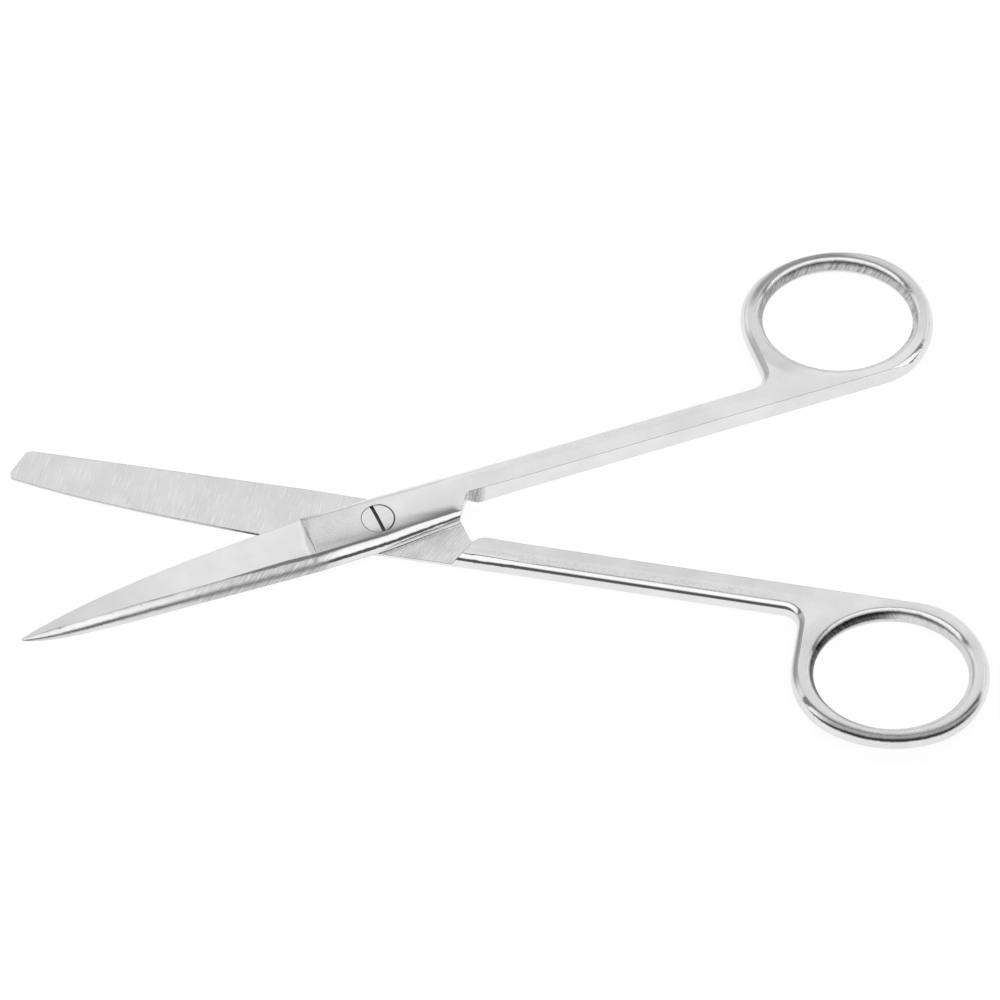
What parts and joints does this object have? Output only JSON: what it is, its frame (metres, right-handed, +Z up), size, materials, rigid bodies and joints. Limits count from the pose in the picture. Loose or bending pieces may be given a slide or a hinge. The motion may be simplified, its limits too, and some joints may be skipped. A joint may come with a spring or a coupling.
{
  "type": "dressing scissors",
  "caption": "Slim steel scissors with one pointed and one round-nosed straight blade, flush slotted pivot screw and oval finger rings.",
  "frame": {"origin": "on the pivot axis, at the flat tail of the screw that the joint rests on", "axes": "X from the pivot towards the finger rings, midway between the opened halves; Z up along the pivot; Y towards the ring of the upper, pointed half"},
  "size_m": [0.1551, 0.0982, 0.0051],
  "materials": {
    "forged_steel": "satin ground flats and blades, polished rounded edges",
    "screw_steel": "ground flush with the joint"
  },
  "bodies": {
    "blunt_half": {"blunt_half": "forged_steel", "pivot_screw": "screw_steel"},
    "sharp_half": {"sharp_half": "forged_steel"}
  },
  "joints": [
    {"name": "pivot", "type": "hinge", "parent": "blunt_half", "child": "sharp_half", "pos_m": [0, 0, 0.0026], "axis": [0, 0, 1], "range_deg": [-29.6, 106]}
  ]
}
